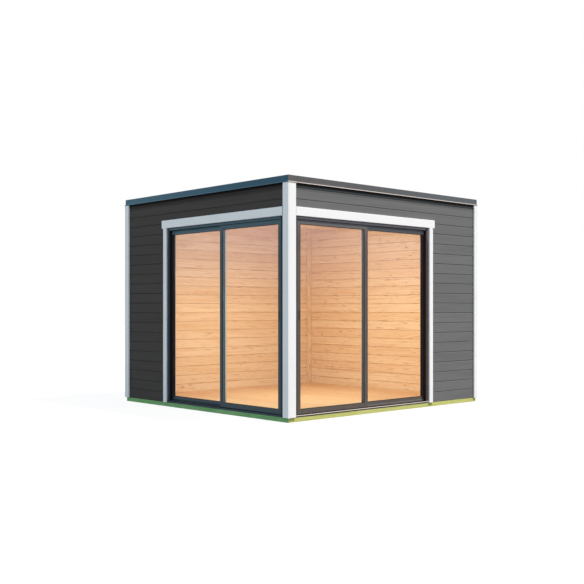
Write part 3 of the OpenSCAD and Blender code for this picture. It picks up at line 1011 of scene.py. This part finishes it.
def header_gap_shade():
    """Painted shade: a black strip in the gap between the front header board and the corner
    board.
    """
    lo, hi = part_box("front_header_board")
    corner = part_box("corner_board_front_right")[0].x
    target = bmesh.new()
    block(
        target,
        Vector((hi.x + 0.0003, lo.y + 0.004, lo.z + 0.002)),
        Vector((corner - 0.0003, hi.y, hi.z - 0.002)),
    )
    finish_piece("front_header_gap_shade", target, gasket)


def screws():
    """Countersunk screw heads, two by two, along the white boards."""
    step, end, rows, thickest = 0.45, 0.06, (0.28, 0.72), 0.03
    target = bmesh.new()
    for name in sorted(nodes):
        if not is_white_board(name):
            continue
        lo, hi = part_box(name)
        thin = 0 if hi.x - lo.x < hi.y - lo.y else 1
        if hi[thin] - lo[thin] > thickest:
            continue
        wide = 1 - thin
        outer = hi[thin] if hi[thin] > 0 else lo[thin]
        way = 1.0 if outer > 0 else -1.0
        long, cross = (2, wide) if is_upright_board(name) else (wide, 2)
        length = hi[long] - lo[long]
        count = max(2, round(length / step) + 1)
        for i in range(count):
            for row in rows:
                at = [0.0, 0.0, 0.0]
                at[thin] = outer
                at[long] = lo[long] + (end + (length - 2 * end) * i / (count - 1))
                at[cross] = lo[cross] + row * (hi[cross] - lo[cross])
                screw_head(target, Vector(at), thin, way)
    finish_piece("board_screws", target, screw_paint)


def screw_head(target, at, axis, way):
    """A flat head 7 mm across with a dished middle, on a face that looks along an axis."""
    sides = 12
    angle = math.radians(90 * way if axis == 0 else -90 * way)
    turn = Matrix.Rotation(angle, 4, "YX"[axis])
    made = set(bmesh.ops.create_cone(
        target, cap_ends=True, segments=sides, radius1=0.0038, radius2=0.0030, depth=0.0016,
        matrix=Matrix.Translation(at) @ turn,
    )["verts"])
    caps = [f for f in target.faces if len(f.verts) == sides and made.issuperset(f.verts)]
    face = max(caps, key=lambda f: way * f.calc_center_median()[axis])
    bmesh.ops.inset_individual(target, faces=[face], thickness=0.0012)
    dish = Vector((0.0, 0.0, 0.0))
    dish[axis] = -way * 0.0006
    bmesh.ops.translate(target, verts=face.verts, vec=dish)


floor_boards()
roof_deck()
for side in GLAZED:
    brush_seals(side)
    interlock(side)
    gaskets(side, "fixed", "cabin")
    gaskets(side, "sliding", side + "_sliding_door")
header_gap_shade()
screws()
felt_laps()

# ---- Stage, light and camera ----

SKY_LIGHT = (0.75, 0.90, 1.03, 1.0)
WHITE = (1.0, 1.0, 1.0, 1.0)
SUN_FROM = (1.0, 0.65, 2.1)
CAMERA_AT = (8.226, -7.327, 1.123)
CAMERA_TURN = 45.60  # degrees about Z, level
CAMERA_LENS = 56.39
CAMERA_SHIFT = (-0.0892, 0.0268)


def seen_directly(tree):
    """1 where the camera sees a thing itself, in a reflection or through glass, else 0."""
    rays = tree.nodes.new("ShaderNodeLightPath").outputs
    seen = either(tree, rays["Is Camera Ray"], rays["Is Glossy Ray"])
    return either(tree, seen, rays["Is Transmission Ray"])


def make_world():
    """Light of a clear sky, in front of a white background."""
    world = bpy.data.worlds.new("sky")
    bpy.context.scene.world = world
    world.use_nodes = True
    tree = world.node_tree
    background = tree.nodes["Background"]
    put(tree, background.inputs["Color"], mix(tree, seen_directly(tree), SKY_LIGHT, WHITE))
    background.inputs["Strength"].default_value = 1.0


def make_floor():
    """White ground that keeps a pale shadow, and reflects little light."""
    half = 40.0
    mesh = bpy.data.meshes.new("ground")
    corners = [(-half, -half, 0), (half, -half, 0), (half, half, 0), (-half, half, 0)]
    mesh.from_pydata(corners, [], [(0, 1, 2, 3)])
    ground = new_object("ground", mesh)
    material, tree, shader = new_tree("ground")
    seen = seen_directly(tree)
    lighting, shown = (0.15, 0.15, 0.15, 1.0), (0.42, 0.42, 0.42, 1.0)
    surface(tree, shader, mix(tree, seen, lighting, shown), 1.0, 0.0)
    glow = tree.nodes.new("ShaderNodeEmission")
    glow.inputs["Strength"].default_value = 1.12
    blend = tree.nodes.new("ShaderNodeMixShader")
    put(tree, blend.inputs[0], times(tree, seen, 0.82))
    tree.links.new(shader.outputs[0], blend.inputs[1])
    tree.links.new(glow.outputs[0], blend.inputs[2])
    tree.links.new(blend.outputs[0], tree.nodes["Material Output"].inputs["Surface"])
    mesh.materials.append(material)


def area_lamp(name, size, energy, colour, location, towards):
    """A soft lamp that is not seen itself."""
    lamp = bpy.data.lights.new(name, "AREA")
    lamp.shape = "RECTANGLE"
    lamp.size, lamp.size_y = size
    lamp.energy = energy
    lamp.color = colour
    holder = new_object(name, lamp)
    holder.location = location
    holder.rotation_euler = Vector(towards).to_track_quat("-Z", "Y").to_euler()
    holder.visible_camera = False
    holder.visible_glossy = False
    return holder


def daylight(side, energy, colour):
    """Daylight that comes in through the door on that side, from a lamp just inside it."""
    behind, lift = 0.02, 0.2
    lo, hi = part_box(side + "_door_frame")
    middle = (lo + hi) / 2
    if side == "front":
        location, towards = (middle.x, hi.y + behind, middle.z + lift), (0.0, 1.0, 0.0)
    else:
        location, towards = (lo.x - behind, middle.y, middle.z + lift), (-1.0, 0.0, 0.0)
    return area_lamp("daylight_" + side, (1.9, 1.8), energy, colour, location, towards)


def floor_glow():
    """The same daylight where it falls on the floor, spread evenly."""
    middle = (ROOM_LO + ROOM_HI) / 2
    location = (middle.x + 0.25, middle.y - 0.25, ROOM_HI.z + 1.5)
    down = (0.0, 0.0, -1.0)
    return area_lamp("daylight_floor", (2.0, 2.0), 26.5, (0.98, 1.0, 0.92), location, down)


def link_floor(lamps, name, state):
    """Links lamps to the floor planks: EXCLUDE keeps their light off the planks, and with
    INCLUDE they light nothing else."""
    planks = bpy.data.collections.new(name)
    planks.objects.link(bpy.data.objects["floor_planks"])
    planks.collection_objects[0].light_linking.link_state = state
    for lamp in lamps:
        lamp.light_linking.receiver_collection = planks


def make_lights():
    """The sun, and daylight through both doors."""
    lamp = bpy.data.lights.new("sun", "SUN")
    lamp.energy = 4.6
    lamp.angle = math.radians(0.6)
    lamp.color = (1.0, 0.86, 0.78)
    sun = new_object("sun", lamp)
    sun.rotation_euler = Vector(SUN_FROM).to_track_quat("Z", "Y").to_euler()
    front = daylight("front", 33.0, (0.92, 1.0, 1.05))
    right = daylight("right", 32.5, (0.90, 1.0, 1.10))
    link_floor((sun, front, right), "out_of_direct_light", "EXCLUDE")
    link_floor((floor_glow(),), "floor_only", "INCLUDE")


def make_camera():
    camera = bpy.data.cameras.new("camera")
    camera.sensor_width = 36.0
    camera.lens = CAMERA_LENS
    camera.shift_x, camera.shift_y = CAMERA_SHIFT
    holder = new_object("camera", camera)
    holder.location = CAMERA_AT
    holder.rotation_euler = (math.radians(90), 0.0, math.radians(CAMERA_TURN))
    bpy.context.scene.camera = holder


make_world()
make_floor()
make_lights()
make_camera()
bpy.context.scene.view_settings.view_transform = "Standard"
